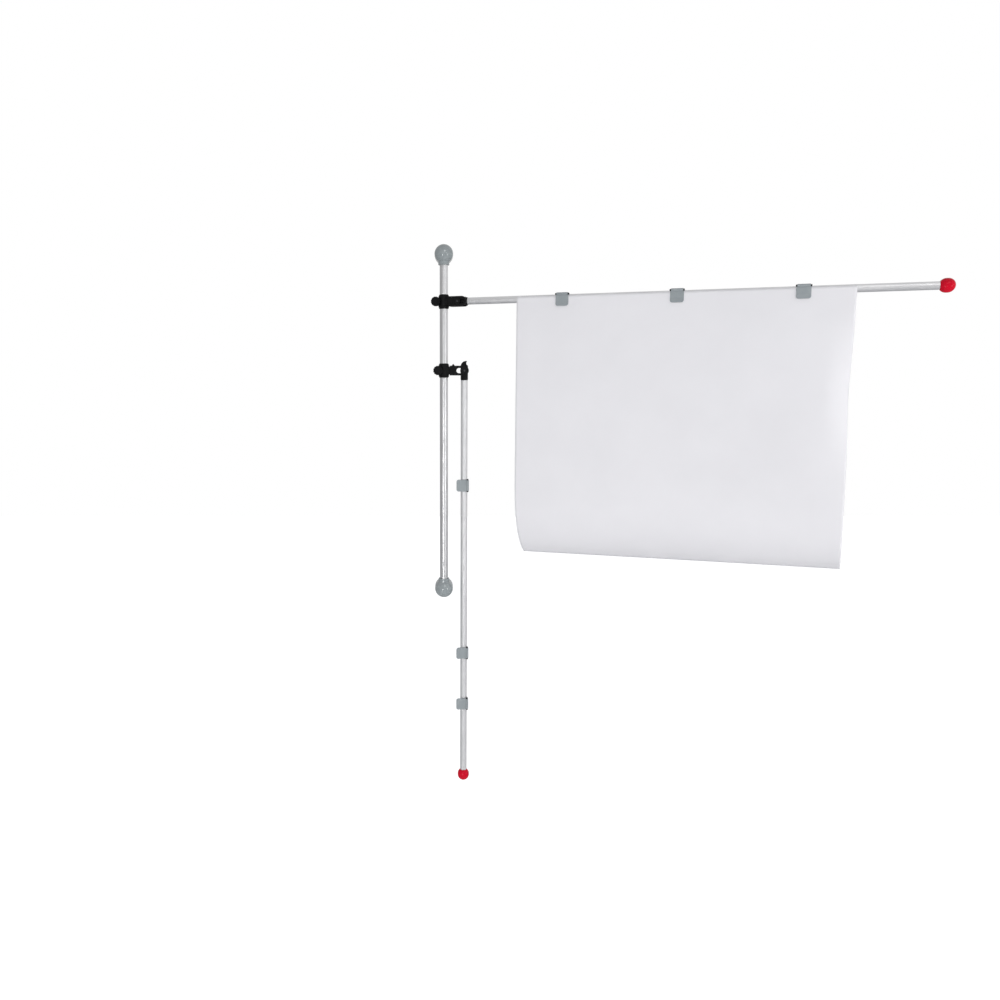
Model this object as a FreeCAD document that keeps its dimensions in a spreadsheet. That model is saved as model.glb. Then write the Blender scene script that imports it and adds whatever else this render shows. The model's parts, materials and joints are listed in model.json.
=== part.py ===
import FreeCAD, Part
import math
import os

import Sketcher

# Wall-mounted plan hanging rack: a round rail held off the wall by two ball-shaped feet, and two
# swing arms clamped to the rail. Each arm folds on a fork with a slotted pivot and carries three
# clips that snap round it. The upper arm stands out level with a sheet clipped to it, the lower
# arm hangs.
#
# Frame of the whole rack: +Z up, the wall is the plane Y = 0, the room is on the -Y side, and the
# origin is midway between the two wall screws. Lengths are millimetres and angles are degrees.
#
# A clamp is drawn with the rail along Z through its origin and its fork along +X.
# An arm is drawn level, with its pivot along Y through its origin and its tube along +X.

DRIVING_SIZES = {
    # wall feet and rail
    "screw_spacing": 790.0,
    "rail_standoff": 30.0,
    "rail_diameter": 19.0,
    "rail_wall": 1.5,
    "ball_diameter": 43.0,
    "ball_wall": 3.0,
    "foot_floor": 5.0,
    "foot_edge_break": 0.8,
    "screw_hole": 5.2,
    "screw_boss": 13.0,
    "rail_end_gap": 7.5,
    "plug_length": 25.0,
    "tongue_width": 14.0,
    "tongue_thickness": 6.0,
    "tongue_hole": 6.0,
    "tongue_play": 0.15,
    "cap_spigot_length": 3.0,
    "cap_spigot_wall": 1.5,
    "cap_spigot_play": 0.1,
    "collar_ring_wall": 3.3,
    "collar_ring_reach": 4.0,
    "collar_ring_root": 5.3,
    "collar_ring_gap": 0.8,
    "collar_ring_gap_depth": 2.0,
    "saddle_width": 12.0,
    "saddle_length": 8.0,
    "saddle_drop": 1.0,
    "saddle_grip": 2.0,
    # swivel bush and split collar
    "running_gap": 0.05,
    "face_gap": 0.3,
    "bush_wall": 0.95,
    "bush_height": 33.0,
    "bush_flange_height": 1.2,
    "bush_flange_step": 0.5,
    "bush_flange_inset": 0.2,
    "bush_slit": 2.0,
    "collar_wall": 1.8,
    "collar_rim": 0.65,
    "collar_chamfer_height": 3.5,
    # ears, clamp screw and knob
    "ear_screw_offset": 3.25,
    "ear_radius": 9.0,
    "ear_proud": 0.15,
    "ear_slit": 1.6,
    "clamp_screw_diameter": 4.0,
    "nut_flats": 7.0,
    "nut_thickness": 3.2,
    "nut_play": 0.1,
    "washer_diameter": 10.0,
    "washer_thickness": 0.7,
    "washer_gap": 0.1,
    "knob_diameter": 22.0,
    "knob_neck_diameter": 13.0,
    "knob_neck_height": 0.8,
    "knob_height": 7.4,
    "knob_dish_depth": 1.0,
    "knob_rim": 3.4,
    "knob_front_bevel": 1.0,
    "knob_back_bevel": 0.5,
    "knob_flute_radius": 1.7,
    "knob_flute_depth": 0.7,
    "screw_in_knob": 5.2,
    "screw_past_ear": 1.0,
    # fork
    "fork_neck_height": 17.5,
    "fork_neck_width": 22.0,
    "fork_neck_length": 0.85,
    "fork_back_wall": 1.1,
    "fork_floor_length": 9.7,
    "fork_floor_thickness": 2.75,
    "fork_edge_round": 1.2,
    "fork_side_play": 0.45,
    "fork_end_reach": 10.5,
    "cheek_thickness": 3.8,
    "slot_play": 0.05,
    "fork_rim": 1.75,
    "slot_spare": 1.4,
    "pivot_travel": 11.0,
    "catch_offset": 7.6,
    "catch_width": 7.0,
    "catch_thickness": 3.0,
    "catch_depth": 14.2,
    "catch_rise": 4.0,
    "catch_tip": 1.2,
    "catch_play": 0.15,
    "catch_wall_margin": 1.1,
    "catch_wall_thickness": 2.8,
    # pivot
    "pin_diameter": 5.0,
    "pin_dome": 0.5,
    "slider_diameter": 12.1,
    "slider_flange_step": 1.45,
    "slider_flange_thickness": 1.2,
    "slider_side_gap": 0.2,
    # knuckle
    "hub_step": 0.75,
    "knuckle_side_gap": 0.3,
    "shoulder_step": 0.75,
    "shoulder_end": 22.5,
    "shoulder_round": 2.5,
    "shoulder_lip": 0.2,
    "spigot_length": 32.0,
    "horn_width": 11.0,
    "horn_root_inset": 0.9,
    "horn_play": 0.3,
    "horn_root_step": 0.1,
    "horn_sweep_radius": 12.8,
    "horn_tip_height": 6.0,
    "horn_tip_inset": 1.2,
    "horn_notch_inset": 5.2,
    "horn_notch_height": 10.8,
    "horn_notch_radius": 6.2,
    # arm
    "arm_diameter": 16.0,
    "arm_wall": 1.5,
    "arm_reach": 998.0,
    "cap_ball_diameter": 28.0,
    "cap_face_lip": 0.45,
    "cap_plug_length": 28.0,
    # clips
    "clip_length": 28.5,
    "clip_wall": 1.6,
    "clip_grip_gap": 0.08,
    "clip_wrap_below": 40.0,
    "clip_front_clearance": 0.7,
    "clip_roll_diameter": 6.4,
    "clip_roll_bore": 4.2,
    "clip_roll_proud": 0.8,
    "clip_roll_setback": 1.75,
    "clip_rod_play": 0.05,
    "clip_rod_overhang": 1.2,
    "clip_rod_clearance": 0.3,
    "clip_top_rise": 3.6,
    "clip_stop_gap": 0.3,
    "clip_stop_corner": 0.6,
    "clip_groove_depth": 0.6,
    "clip_groove_height": 1.5,
    "clip_front_round": 1.0,
    "clip_tab_end": 18.0,
    "clip_tab_bend": 8.4,
    "clip_tab_flare": 2.0,
    "clip_tab_corner": 5.0,
    "upper_first_clip": 244.0,
    "upper_second_clip": 491.0,
    "upper_third_clip": 740.0,
    "lower_first_clip": 271.0,
    "lower_second_clip": 683.0,
    "lower_third_clip": 812.0,
    # sheet
    "sheet_start": 140.0,
    "sheet_width": 698.0,
    "sheet_thickness": 0.2,
    "sheet_gap": 0.25,
    "sheet_above_axis": 4.9,
    "sheet_straight": 419.0,
    "sheet_curl_radius": 230.0,
    "sheet_curl_angle": 49.0,
    # how the two arms stand
    "upper_arm_height": 286.2,
    "lower_arm_height": 128.0,
    "upper_swing": 19.75,
    "lower_drop": 90.0,
}

FLUTE_COUNT = 12
EDGE_TOLERANCE = 1e-4
# how far a cut runs on past the shape that it opens
OVERRUN = 1.0

doc = FreeCAD.newDocument("plan_hanging_rack")
sheet = doc.addObject("Spreadsheet::Sheet", "Sizes")
for row, (alias, number) in enumerate(DRIVING_SIZES.items(), start=1):
    sheet.set(f"A{row}", str(number))
    sheet.setAlias(f"A{row}", alias)
doc.recompute()


class Size:
    """A number together with the formula that gives it from the sheet's cells."""

    def __init__(self, value, formula):
        self.value = value
        self.formula = formula

    @staticmethod
    def of(other):
        return other if isinstance(other, Size) else Size(float(other), f"{float(other)!r}")

    def joined(self, other, sign, value):
        return Size(value, f"({self.formula} {sign} {other.formula})")

    def __add__(self, other):
        other = Size.of(other)
        return self.joined(other, "+", self.value + other.value)

    def __sub__(self, other):
        other = Size.of(other)
        return self.joined(other, "-", self.value - other.value)

    def __mul__(self, other):
        other = Size.of(other)
        return self.joined(other, "*", self.value * other.value)

    def __truediv__(self, other):
        other = Size.of(other)
        return self.joined(other, "/", self.value / other.value)

    def __radd__(self, other):
        return Size.of(other) + self

    def __rsub__(self, other):
        return Size.of(other) - self

    def __neg__(self):
        return Size(-self.value, f"(0 - {self.formula})")


def size(alias):
    return Size(DRIVING_SIZES[alias], f"Sizes.{alias}")


def root(square):
    return Size(math.sqrt(square.value), f"sqrt({square.formula})")


def sine(angle):
    return Size(math.sin(math.radians(angle.value)), f"sin({angle.formula} * 1 deg)")


def cosine(angle):
    return Size(math.cos(math.radians(angle.value)), f"cos({angle.formula} * 1 deg)")


ZERO = Size.of(0)


# ---------------------------------------------------------------- document helpers


def new_body(label):
    body = doc.addObject("PartDesign::Body", label)
    body.Label = label
    return body


def origin_part(body, role):
    return next(part for part in body.Origin.OriginFeatures if part.Role == role)


def new_sketch(body, role, offset=None):
    """An empty sketch on one of the body's own planes, moved along that plane's normal."""
    sketch = body.newObject("Sketcher::SketchObject", f"{body.Name}_sketch")
    sketch.AttachmentSupport = [(origin_part(body, role), "")]
    sketch.MapMode = "FlatFace"
    if offset is not None:
        sketch.setExpression("AttachmentOffset.Base.z", offset.formula)
    return sketch


def bind(sketch, kind, numbers, amount):
    index = sketch.addConstraint(Sketcher.Constraint(kind, *numbers, amount.value))
    sketch.setExpression(f"Constraints[{index}]", amount.formula)


def locate(sketch, geometry, point, across=None, up=None):
    """Fix a point of the sketch by its distances from the sketch's origin."""
    for kind, amount in (("DistanceX", across), ("DistanceY", up)):
        if amount is not None:
            bind(sketch, kind, (-1, 1, geometry, point), amount)


def vector(across, up):
    return FreeCAD.Vector(across.value, up.value, 0)


class Arc:
    """Marks that an outline goes on to its next corner along an arc about this centre."""

    def __init__(self, across, up, clockwise=False):
        self.centre = (Size.of(across), Size.of(up))
        self.clockwise = clockwise


def arc_edge(start, end, arc):
    centre = vector(*arc.centre)
    circle = Part.Circle(centre, FreeCAD.Vector(0, 0, 1), (start - centre).Length)
    first, last = (end, start) if arc.clockwise else (start, end)
    angles = [math.atan2((p - centre).y, (p - centre).x) for p in (first, last)]
    if angles[1] <= angles[0]:
        angles[1] += 2 * math.pi
    return Part.ArcOfCircle(circle, *angles)


def draw_outline(sketch, *steps):
    """Draw a closed outline. A step is a corner (across, up) or an Arc that leads to the next one.

    Each corner is fixed from the sheet. The corner at an arc's end is fixed in one direction
    only, because the arc's own radius fixes it in the other.
    """
    corners, arcs = [], {}
    for step in steps:
        if isinstance(step, Arc):
            arcs[len(corners) - 1] = step
        else:
            corners.append((Size.of(step[0]), Size.of(step[1])))
    points = [vector(*corner) for corner in corners]
    count = len(corners)
    edges = []
    for n in range(count):
        start, end = points[n], points[(n + 1) % count]
        edge = arc_edge(start, end, arcs[n]) if n in arcs else Part.LineSegment(start, end)
        edges.append(sketch.addGeometry(edge))
    # the vertex numbers of a clockwise arc are swapped, because an arc always runs the other way
    first = [2 if n in arcs and arcs[n].clockwise else 1 for n in range(count)]
    last = [3 - number for number in first]
    for n in range(count):
        after = (n + 1) % count
        joint = (edges[n], last[n], edges[after], first[after])
        sketch.addConstraint(Sketcher.Constraint("Coincident", *joint))
        across, up = corners[n]
        arriving = arcs.get((n - 1) % count)
        if arriving is not None:
            radius = points[n] - vector(*arriving.centre)
            if abs(radius.y) > abs(radius.x):
                up = None
            else:
                across = None
        locate(sketch, edges[n], first[n], across, up)
        if n in arcs:
            locate(sketch, edges[n], 3, *arcs[n].centre)


def draw_box(sketch, left, right, low, high):
    draw_outline(sketch, (left, low), (right, low), (right, high), (left, high))


def draw_circle(sketch, across, up, diameter):
    across, up = Size.of(across), Size.of(up)
    circle = Part.Circle(vector(across, up), FreeCAD.Vector(0, 0, 1), diameter.value / 2)
    number = sketch.addGeometry(circle)
    locate(sketch, number, 3, across, up)
    bind(sketch, "Diameter", (number,), diameter)


def draw_hexagon(sketch, across, flats):
    """A hexagon about a point on the sketch's first axis, given its width across the flats."""
    corner = flats / 2 / math.cos(math.radians(30))
    turns = [math.radians(60 * n) for n in range(6)]
    draw_outline(sketch, *[(across + corner * math.cos(t), corner * math.sin(t)) for t in turns])


def add_feature(body, kind, profile, length=None, both_sides=True, backwards=False):
    """A pad or pocket of a sketch, about the sketch's plane or away from it on one side."""
    feature = body.newObject(f"PartDesign::{kind}", f"{body.Name}_{kind.lower()}")
    feature.Profile = profile
    if length is None:
        feature.Type = "ThroughAll"
    else:
        feature.setExpression("Length", length.formula)
    feature.SideType = "Symmetric" if both_sides else "One side"
    feature.Reversed = backwards
    profile.Visibility = False
    return feature


def pad(body, profile, length, both_sides=True, backwards=False):
    return add_feature(body, "Pad", profile, length, both_sides, backwards)


def pocket(body, profile, length=None, both_sides=True, backwards=False):
    return add_feature(body, "Pocket", profile, length, both_sides, backwards)


def revolve(body, profile, role):
    """Turn a sketch right round one of the body's own axes."""
    feature = body.newObject("PartDesign::Revolution", f"{body.Name}_turned")
    feature.Profile = profile
    feature.ReferenceAxis = (origin_part(body, role), [""])
    feature.Angle = 360.0
    return feature


def edges_where(feature, wanted):
    """The names of a feature's edges that pass a test."""
    doc.recompute()
    return [f"Edge{n}" for n, edge in enumerate(feature.Shape.Edges, start=1) if wanted(edge)]


def lies_at(edge, **places):
    """Whether all of an edge is at these coordinates, given as x, y or z."""
    box = edge.BoundBox
    spans = {"x": (box.XMin, box.XMax), "y": (box.YMin, box.YMax), "z": (box.ZMin, box.ZMax)}
    return all(
        abs(low - place) < EDGE_TOLERANCE and abs(high - place) < EDGE_TOLERANCE
        for axis, place in places.items()
        for low, high in [spans[axis]]
    )


def round_edges(body, feature, edges, radius):
    rounded = body.newObject("PartDesign::Fillet", f"{body.Name}_round")
    rounded.Base = (feature, edges)
    rounded.setExpression("Radius", radius.formula)
    return rounded


def place(piece, across=ZERO, along=ZERO, up=ZERO, axis=(0, 0, 1), angle=ZERO):
    """Put a piece in the rack's frame, turned about one axis."""
    turn = FreeCAD.Rotation(FreeCAD.Vector(*axis), angle.value)
    piece.Placement = FreeCAD.Placement(
        FreeCAD.Vector(across.value, along.value, up.value), turn
    )
    for letter, amount in (("x", across), ("y", along), ("z", up)):
        piece.setExpression(f"Placement.Base.{letter}", amount.formula)
    if angle.value:
        piece.setExpression("Placement.Rotation.Angle", f"{angle.formula} * 1 deg")


# ---------------------------------------------------------------- sizes that follow from the rest

rail_radius = size("rail_diameter") / 2
rail_bore = size("rail_diameter") - size("rail_wall") * 2
ball_radius = size("ball_diameter") / 2
standoff = size("rail_standoff")
foot_bore_radius = ball_radius - size("ball_wall")
tongue_back = standoff - size("tongue_thickness") / 2
collar_ring_radius = rail_radius + size("collar_ring_wall")
collar_ring_end = ball_radius + size("collar_ring_reach")

bush_bore = size("rail_diameter") + size("running_gap") * 2
bush_radius = bush_bore / 2 + size("bush_wall")
collar_bore_radius = bush_radius + size("running_gap")
collar_radius = collar_bore_radius + size("collar_wall")
bush_half = size("bush_height") / 2
flange_low = bush_half - size("bush_flange_height")
collar_half = flange_low - size("face_gap")
collar_rim_radius = collar_bore_radius + size("collar_rim")

ear_reach = collar_bore_radius + size("ear_screw_offset")
ear_face = collar_radius + size("ear_proud")
washer_front = ear_face + size("washer_gap") + size("washer_thickness")
screw_radius = size("clamp_screw_diameter") / 2
screw_hole_radius = screw_radius + size("running_gap")

arm_radius = size("arm_diameter") / 2
arm_bore = size("arm_diameter") - size("arm_wall") * 2
shoulder_radius = arm_radius + size("shoulder_step")
hub_radius = shoulder_radius + size("hub_step")
horn_root_half = hub_radius - size("horn_root_inset")
horn_root_length = hub_radius + size("horn_root_step")
horn_back = horn_root_length + size("horn_sweep_radius")
cap_radius = size("cap_ball_diameter") / 2
cap_face_radius = arm_radius + size("cap_face_lip")
tube_end = size("arm_reach") - root(cap_radius * cap_radius - cap_face_radius * cap_face_radius)

slot_radius = size("slider_diameter") / 2 + size("slot_play")
fork_half_gap = shoulder_radius + size("fork_side_play")
fork_half_width = fork_half_gap + size("cheek_thickness")
fork_half_height = hub_radius + size("fork_rim")
fork_start = collar_radius + size("fork_neck_length")
fork_gap_start = fork_start + size("fork_back_wall")
fork_floor_top = size("fork_floor_thickness") - fork_half_height
pivot_in = fork_gap_start + horn_back + size("horn_play")
pivot_out = pivot_in + size("pivot_travel")
fork_reach = pivot_out + size("fork_end_reach")
fork_end_centre = fork_reach - fork_half_height
catch_place = fork_gap_start + size("catch_offset")
hub_width = (fork_half_gap - size("knuckle_side_gap")) * 2

pin_radius = size("pin_diameter") / 2
slider_inner = fork_half_gap - size("slot_play")
slider_flange_low = fork_half_width + size("slider_side_gap")
slider_outer = slider_flange_low + size("slider_flange_thickness")

clip_inner = arm_radius + size("clip_grip_gap")
clip_front_in = -(arm_radius + size("clip_front_clearance"))
clip_front_out = clip_front_in - size("clip_wall")
clip_roll_radius = size("clip_roll_diameter") / 2
clip_roll_across = clip_front_out - size("clip_roll_proud") + clip_roll_radius
clip_roll_up = arm_radius + size("clip_top_rise") - clip_roll_radius
clip_stop = size("sheet_above_axis") + size("clip_stop_gap")
clip_outer = clip_inner + size("clip_wall")
clip_saddle = clip_outer - clip_roll_up
clip_roll_back = clip_roll_across + root(clip_roll_radius * clip_roll_radius - clip_saddle * clip_saddle)
clip_groove = clip_front_out + size("clip_groove_depth")
clip_groove_in = clip_groove - clip_roll_across
clip_groove_drop = root(clip_roll_radius * clip_roll_radius - clip_groove_in * clip_groove_in)
clip_groove_top = clip_roll_up - clip_groove_drop


# ---------------------------------------------------------------- wall feet and rail


def make_foot(label):
    """The round spacer on the wall: a cup with a screw boss and a saddle behind the rail's end."""
    body = new_body(label)
    hole = size("screw_hole") / 2
    boss = size("screw_boss") / 2
    floor = -size("foot_floor")
    boss_top = -tongue_back + size("tongue_play")
    edge = size("foot_edge_break")
    profile = new_sketch(body, "XY_Plane")
    draw_outline(
        profile,
        (hole, 0),
        (ball_radius - edge, 0),
        (ball_radius, -edge),
        (ball_radius, -standoff),
        (foot_bore_radius, -standoff),
        (foot_bore_radius, floor),
        (boss, floor),
        (boss, boss_top),
        (hole, boss_top),
    )
    revolve(body, profile, "Y_Axis")

    saddle = new_sketch(body, "XY_Plane", -size("rail_end_gap") - size("saddle_drop"))
    half = size("saddle_width") / 2
    draw_box(saddle, -half, half, -standoff + rail_radius - size("saddle_grip"), floor / 2)
    pad(body, saddle, size("saddle_length"), both_sides=False, backwards=True)

    add_half_ring(body, collar_ring_radius)
    cut_rail_seat(body)
    return body


def add_half_ring(body, first):
    """Half of the ring round the rail where it enters the ball, from a first corner anticlockwise."""
    ring = new_sketch(body, "XY_Plane", -ball_radius + size("collar_ring_root"))
    draw_outline(ring, (first, -standoff), Arc(0, -standoff), (-first, -standoff))
    length = size("collar_ring_reach") + size("collar_ring_root")
    pad(body, ring, length, both_sides=False, backwards=True)


def cut_rail_seat(body):
    """Open the half-round way in for the rail's end, with a shadow gap at the ring's mouth."""
    mouth = new_sketch(body, "XY_Plane", -collar_ring_end + size("collar_ring_gap_depth"))
    draw_circle(mouth, 0, -standoff, size("rail_diameter") + size("collar_ring_gap") * 2)
    pocket(body, mouth, size("collar_ring_gap_depth") + OVERRUN, both_sides=False)
    seat = new_sketch(body, "XY_Plane", -size("rail_end_gap"))
    draw_circle(seat, 0, -standoff, size("rail_diameter"))
    pocket(body, seat, collar_ring_end, both_sides=False)


def make_ball_cap(label):
    """The front half of the ball, which snaps into the foot and covers the wall screw."""
    body = new_body(label)
    outer = foot_bore_radius - size("cap_spigot_play")
    inner = outer - size("cap_spigot_wall")
    dome_depth = root(foot_bore_radius * foot_bore_radius - inner * inner)
    spigot_end = -standoff + size("cap_spigot_length")
    profile = new_sketch(body, "XY_Plane")
    draw_outline(
        profile,
        (0, -standoff - foot_bore_radius),
        (0, -standoff - ball_radius),
        Arc(0, -standoff),
        (ball_radius, -standoff),
        (outer, -standoff),
        (outer, spigot_end),
        (inner, spigot_end),
        (inner, -standoff - dome_depth),
        Arc(0, -standoff, clockwise=True),
    )
    revolve(body, profile, "Y_Axis")
    add_half_ring(body, -collar_ring_radius)
    cut_rail_seat(body)
    return body


def make_rail_plug(label):
    """The plug in the rail's end, with a flat tongue that the wall screw clamps to the foot."""
    body = new_body(label)
    gap = size("rail_end_gap")
    half = size("tongue_width") / 2
    tongue = new_sketch(body, "XZ_Plane")
    draw_outline(tongue, (-half, -gap), (half, -gap), (half, 0), Arc(0, 0), (-half, 0))
    pad(body, tongue, size("tongue_thickness"))
    stem = new_sketch(body, "XY_Plane", -gap)
    draw_circle(stem, 0, 0, rail_bore)
    pad(body, stem, size("plug_length"), both_sides=False, backwards=True)
    hole = new_sketch(body, "XZ_Plane")
    draw_circle(hole, 0, 0, size("tongue_hole"))
    pocket(body, hole)
    return body


def make_rail(label):
    body = new_body(label)
    section = new_sketch(body, "XY_Plane")
    draw_circle(section, 0, 0, size("rail_diameter"))
    draw_circle(section, 0, 0, rail_bore)
    pad(body, section, size("screw_spacing") - size("rail_end_gap") * 2)
    return body


def make_wall_rail():
    half = size("screw_spacing") / 2
    place(make_rail("rail_tube"), along=-standoff)
    for end, height, angle in (("top", half, ZERO), ("bottom", -half, Size.of(180))):
        turned = {"up": height, "axis": (0, 1, 0), "angle": angle}
        place(make_foot(f"{end}_wall_foot"), **turned)
        place(make_ball_cap(f"{end}_ball_cap"), **turned)
        place(make_rail_plug(f"{end}_rail_plug"), along=-standoff, **turned)


# ---------------------------------------------------------------- clamp on the rail


def make_bush(label):
    """The split plastic bush that runs on the rail, with a flange above and below the collar."""
    body = new_body(label)
    bore = bush_bore / 2
    flange = collar_rim_radius - size("bush_flange_inset")
    flange_top = bore + size("bush_flange_step")
    profile = new_sketch(body, "XZ_Plane")
    draw_outline(
        profile,
        (bore, -bush_half),
        (flange_top, -bush_half),
        (flange, -flange_low),
        (bush_radius, -flange_low),
        (bush_radius, flange_low),
        (flange, flange_low),
        (flange_top, bush_half),
        (bore, bush_half),
    )
    revolve(body, profile, "Z_Axis")
    slit = new_sketch(body, "XY_Plane")
    half = size("bush_slit") / 2
    draw_box(slit, -collar_radius, 0, -half, half)
    pocket(body, slit)
    return body


def make_clamp(label):
    """The split collar with its two ears, and the fork that carries the arm's pivot."""
    body = new_body(label)
    chamfer_start = collar_half - size("collar_chamfer_height")
    collar = new_sketch(body, "XZ_Plane")
    draw_outline(
        collar,
        (collar_bore_radius, -collar_half),
        (collar_rim_radius, -collar_half),
        (collar_radius, -chamfer_start),
        (collar_radius, chamfer_start),
        (collar_rim_radius, collar_half),
        (collar_bore_radius, collar_half),
    )
    revolve(body, collar, "Z_Axis")
    add_ears(body)
    add_neck(body)
    add_fork(body)

    bore = new_sketch(body, "XY_Plane")
    draw_circle(bore, 0, 0, collar_bore_radius * 2)
    pocket(body, bore)
    cut_ears(body)
    cut_fork(body)
    return body


def add_ears(body):
    ears = new_sketch(body, "XZ_Plane")
    radius = size("ear_radius")
    draw_outline(
        ears,
        (-ear_reach, radius),
        Arc(-ear_reach, 0),
        (-ear_reach, -radius),
        (-collar_bore_radius / 2, -radius),
        (-collar_bore_radius / 2, radius),
    )
    pad(body, ears, ear_face * 2)


def cut_ears(body):
    slit = new_sketch(body, "XY_Plane")
    half = size("ear_slit") / 2
    beyond = -ear_reach - size("ear_radius") - OVERRUN
    draw_box(slit, beyond, -collar_bore_radius / 2, -half, half)
    pocket(body, slit)
    hole = new_sketch(body, "XZ_Plane")
    draw_circle(hole, -ear_reach, 0, screw_hole_radius * 2)
    pocket(body, hole)
    seat = new_sketch(body, "XZ_Plane", -ear_face)
    draw_hexagon(seat, -ear_reach, size("nut_flats") + size("nut_play") * 2)
    pocket(body, seat, size("nut_thickness"), both_sides=False, backwards=True)


def add_neck(body):
    """The block that joins the fork to the collar."""
    neck = new_sketch(body, "XZ_Plane")
    half = size("fork_neck_height") / 2
    draw_box(neck, collar_bore_radius / 2, fork_gap_start, -half, half)
    pad(body, neck, size("fork_neck_width"))


def add_fork(body):
    """The fork before its gap is cut: round-ended seen from the side, with rounded edges."""
    neck = size("fork_neck_height") / 2
    corner = fork_start + fork_half_height - neck
    shape = new_sketch(body, "XZ_Plane")
    draw_outline(
        shape,
        (fork_start, -neck),
        Arc(corner, -neck),
        (corner, -fork_half_height),
        (fork_end_centre, -fork_half_height),
        Arc(fork_end_centre, 0),
        (fork_end_centre, fork_half_height),
        (corner, fork_half_height),
        Arc(corner, neck),
        (fork_start, neck),
    )
    fork = pad(body, shape, fork_half_width * 2)
    side = fork_half_width.value

    def on_side(edge):
        return lies_at(edge, y=side) or lies_at(edge, y=-side)

    round_edges(body, fork, edges_where(fork, on_side), size("fork_edge_round"))


def cut_fork(body):
    """Cut the gap between the cheeks, with a floor left near the collar, and what is in the cheeks."""
    gap = fork_half_gap * 2
    floor_end, end = fork_gap_start + size("fork_floor_length"), fork_reach + OVERRUN
    above = new_sketch(body, "XZ_Plane")
    draw_box(above, fork_gap_start, end, fork_floor_top, fork_half_height + OVERRUN)
    pocket(body, above, gap)
    below = new_sketch(body, "XZ_Plane")
    draw_box(below, floor_end, end, -fork_half_height - OVERRUN, fork_floor_top)
    pocket(body, below, gap)
    cut_slots(body)
    add_catch_guide(body)


def cut_slots(body):
    """The slot through both cheeks that the sliders run in."""
    first, last = pivot_in - size("slot_spare"), pivot_out
    slot = new_sketch(body, "XZ_Plane")
    draw_outline(
        slot,
        (last, -slot_radius),
        Arc(last, 0),
        (last, slot_radius),
        (first, slot_radius),
        Arc(first, 0),
        (first, -slot_radius),
    )
    pocket(body, slot)


def add_catch_guide(body):
    """A wall that thickens the front cheek from inside, and the pit in it for the catch."""
    half = size("catch_width") / 2
    wall = new_sketch(body, "XY_Plane", fork_floor_top)
    wall_end = catch_place + half + size("catch_wall_margin")
    wall_back = -fork_half_gap + size("catch_wall_thickness")
    draw_box(wall, fork_gap_start, wall_end, -fork_half_gap, wall_back)
    pad(body, wall, fork_half_height - fork_floor_top, both_sides=False)
    pit = new_sketch(body, "XY_Plane", fork_half_height)
    play = size("catch_play")
    reach = half + play
    middle, thick = -catch_middle(), size("catch_thickness") / 2 + play
    draw_box(pit, catch_place - reach, catch_place + reach, middle - thick, middle + thick)
    pocket(body, pit, size("catch_depth") + play, both_sides=False)


def catch_middle():
    """How far in front of the clamp's middle plane the catch slides."""
    return fork_half_gap + (size("cheek_thickness") - size("catch_wall_thickness")) / 2


def make_catch(label):
    """The thumb catch: a flat shank with a wedge-shaped tip, drawn with its tip at the origin."""
    body = new_body(label)
    half, tip = size("catch_width") / 2, size("catch_tip") / 2
    rise = size("catch_rise")
    shape = new_sketch(body, "XZ_Plane")
    draw_outline(
        shape,
        (-half, -size("catch_depth")),
        (half, -size("catch_depth")),
        (half, -rise),
        (tip, 0),
        (-tip, 0),
        (-half, -rise),
    )
    pad(body, shape, size("catch_thickness"))
    return body


def make_clamp_nut(label):
    """A hexagon nut, drawn with its axis along Y and its outer face on the ear's face."""
    body = new_body(label)
    face = new_sketch(body, "XZ_Plane", -ear_face)
    draw_hexagon(face, ZERO, size("nut_flats"))
    draw_circle(face, 0, 0, screw_hole_radius * 2)
    pad(body, face, size("nut_thickness"), both_sides=False)
    return body


def make_washer(label):
    body = new_body(label)
    face = new_sketch(body, "XZ_Plane", ear_face + size("washer_gap"))
    draw_circle(face, 0, 0, size("washer_diameter"))
    draw_circle(face, 0, 0, screw_hole_radius * 2)
    pad(body, face, size("washer_thickness"), both_sides=False)
    return body


def make_clamp_screw(label):
    """The stud that is moulded into the knob and runs through both ears into the nut."""
    body = new_body(label)
    face = new_sketch(body, "XZ_Plane", -ear_face - size("screw_past_ear"))
    draw_circle(face, 0, 0, size("clamp_screw_diameter"))
    length = washer_front + size("screw_in_knob") + ear_face + size("screw_past_ear")
    pad(body, face, length, both_sides=False)
    return body


def make_knob(label):
    """The round clamp knob with a fluted rim and a dished face, on the room side of the ears."""
    body = new_body(label)
    radius = size("knob_diameter") / 2
    neck = size("knob_neck_diameter") / 2
    front = -washer_front - size("knob_height")
    neck_end = -washer_front - size("knob_neck_height")
    depth = size("knob_dish_depth")
    dish_edge = radius - size("knob_rim")
    bevel = size("knob_front_bevel")
    profile = new_sketch(body, "XY_Plane")
    draw_outline(
        profile,
        (screw_radius, -washer_front),
        (screw_radius, -washer_front - size("screw_in_knob")),
        (0, -washer_front - size("screw_in_knob")),
        (0, front + depth),
        (dish_edge - depth, front + depth),
        (dish_edge, front),
        (radius - bevel, front),
        (radius, front + bevel),
        (radius, neck_end - size("knob_back_bevel")),
        (neck, neck_end),
        (neck, -washer_front),
    )
    revolve(body, profile, "Y_Axis")
    flute = new_sketch(body, "XZ_Plane")
    away = radius + size("knob_flute_radius") - size("knob_flute_depth")
    draw_circle(flute, away, 0, size("knob_flute_radius") * 2)
    cut = pocket(body, flute)
    flutes = body.newObject("PartDesign::PolarPattern", f"{body.Name}_flutes")
    flutes.Originals = [cut]
    flutes.Axis = (origin_part(body, "Y_Axis"), [""])
    flutes.Angle = 360.0
    flutes.Occurrences = FLUTE_COUNT
    body.Tip = flutes
    return body


# ---------------------------------------------------------------- pivot and arm


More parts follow.
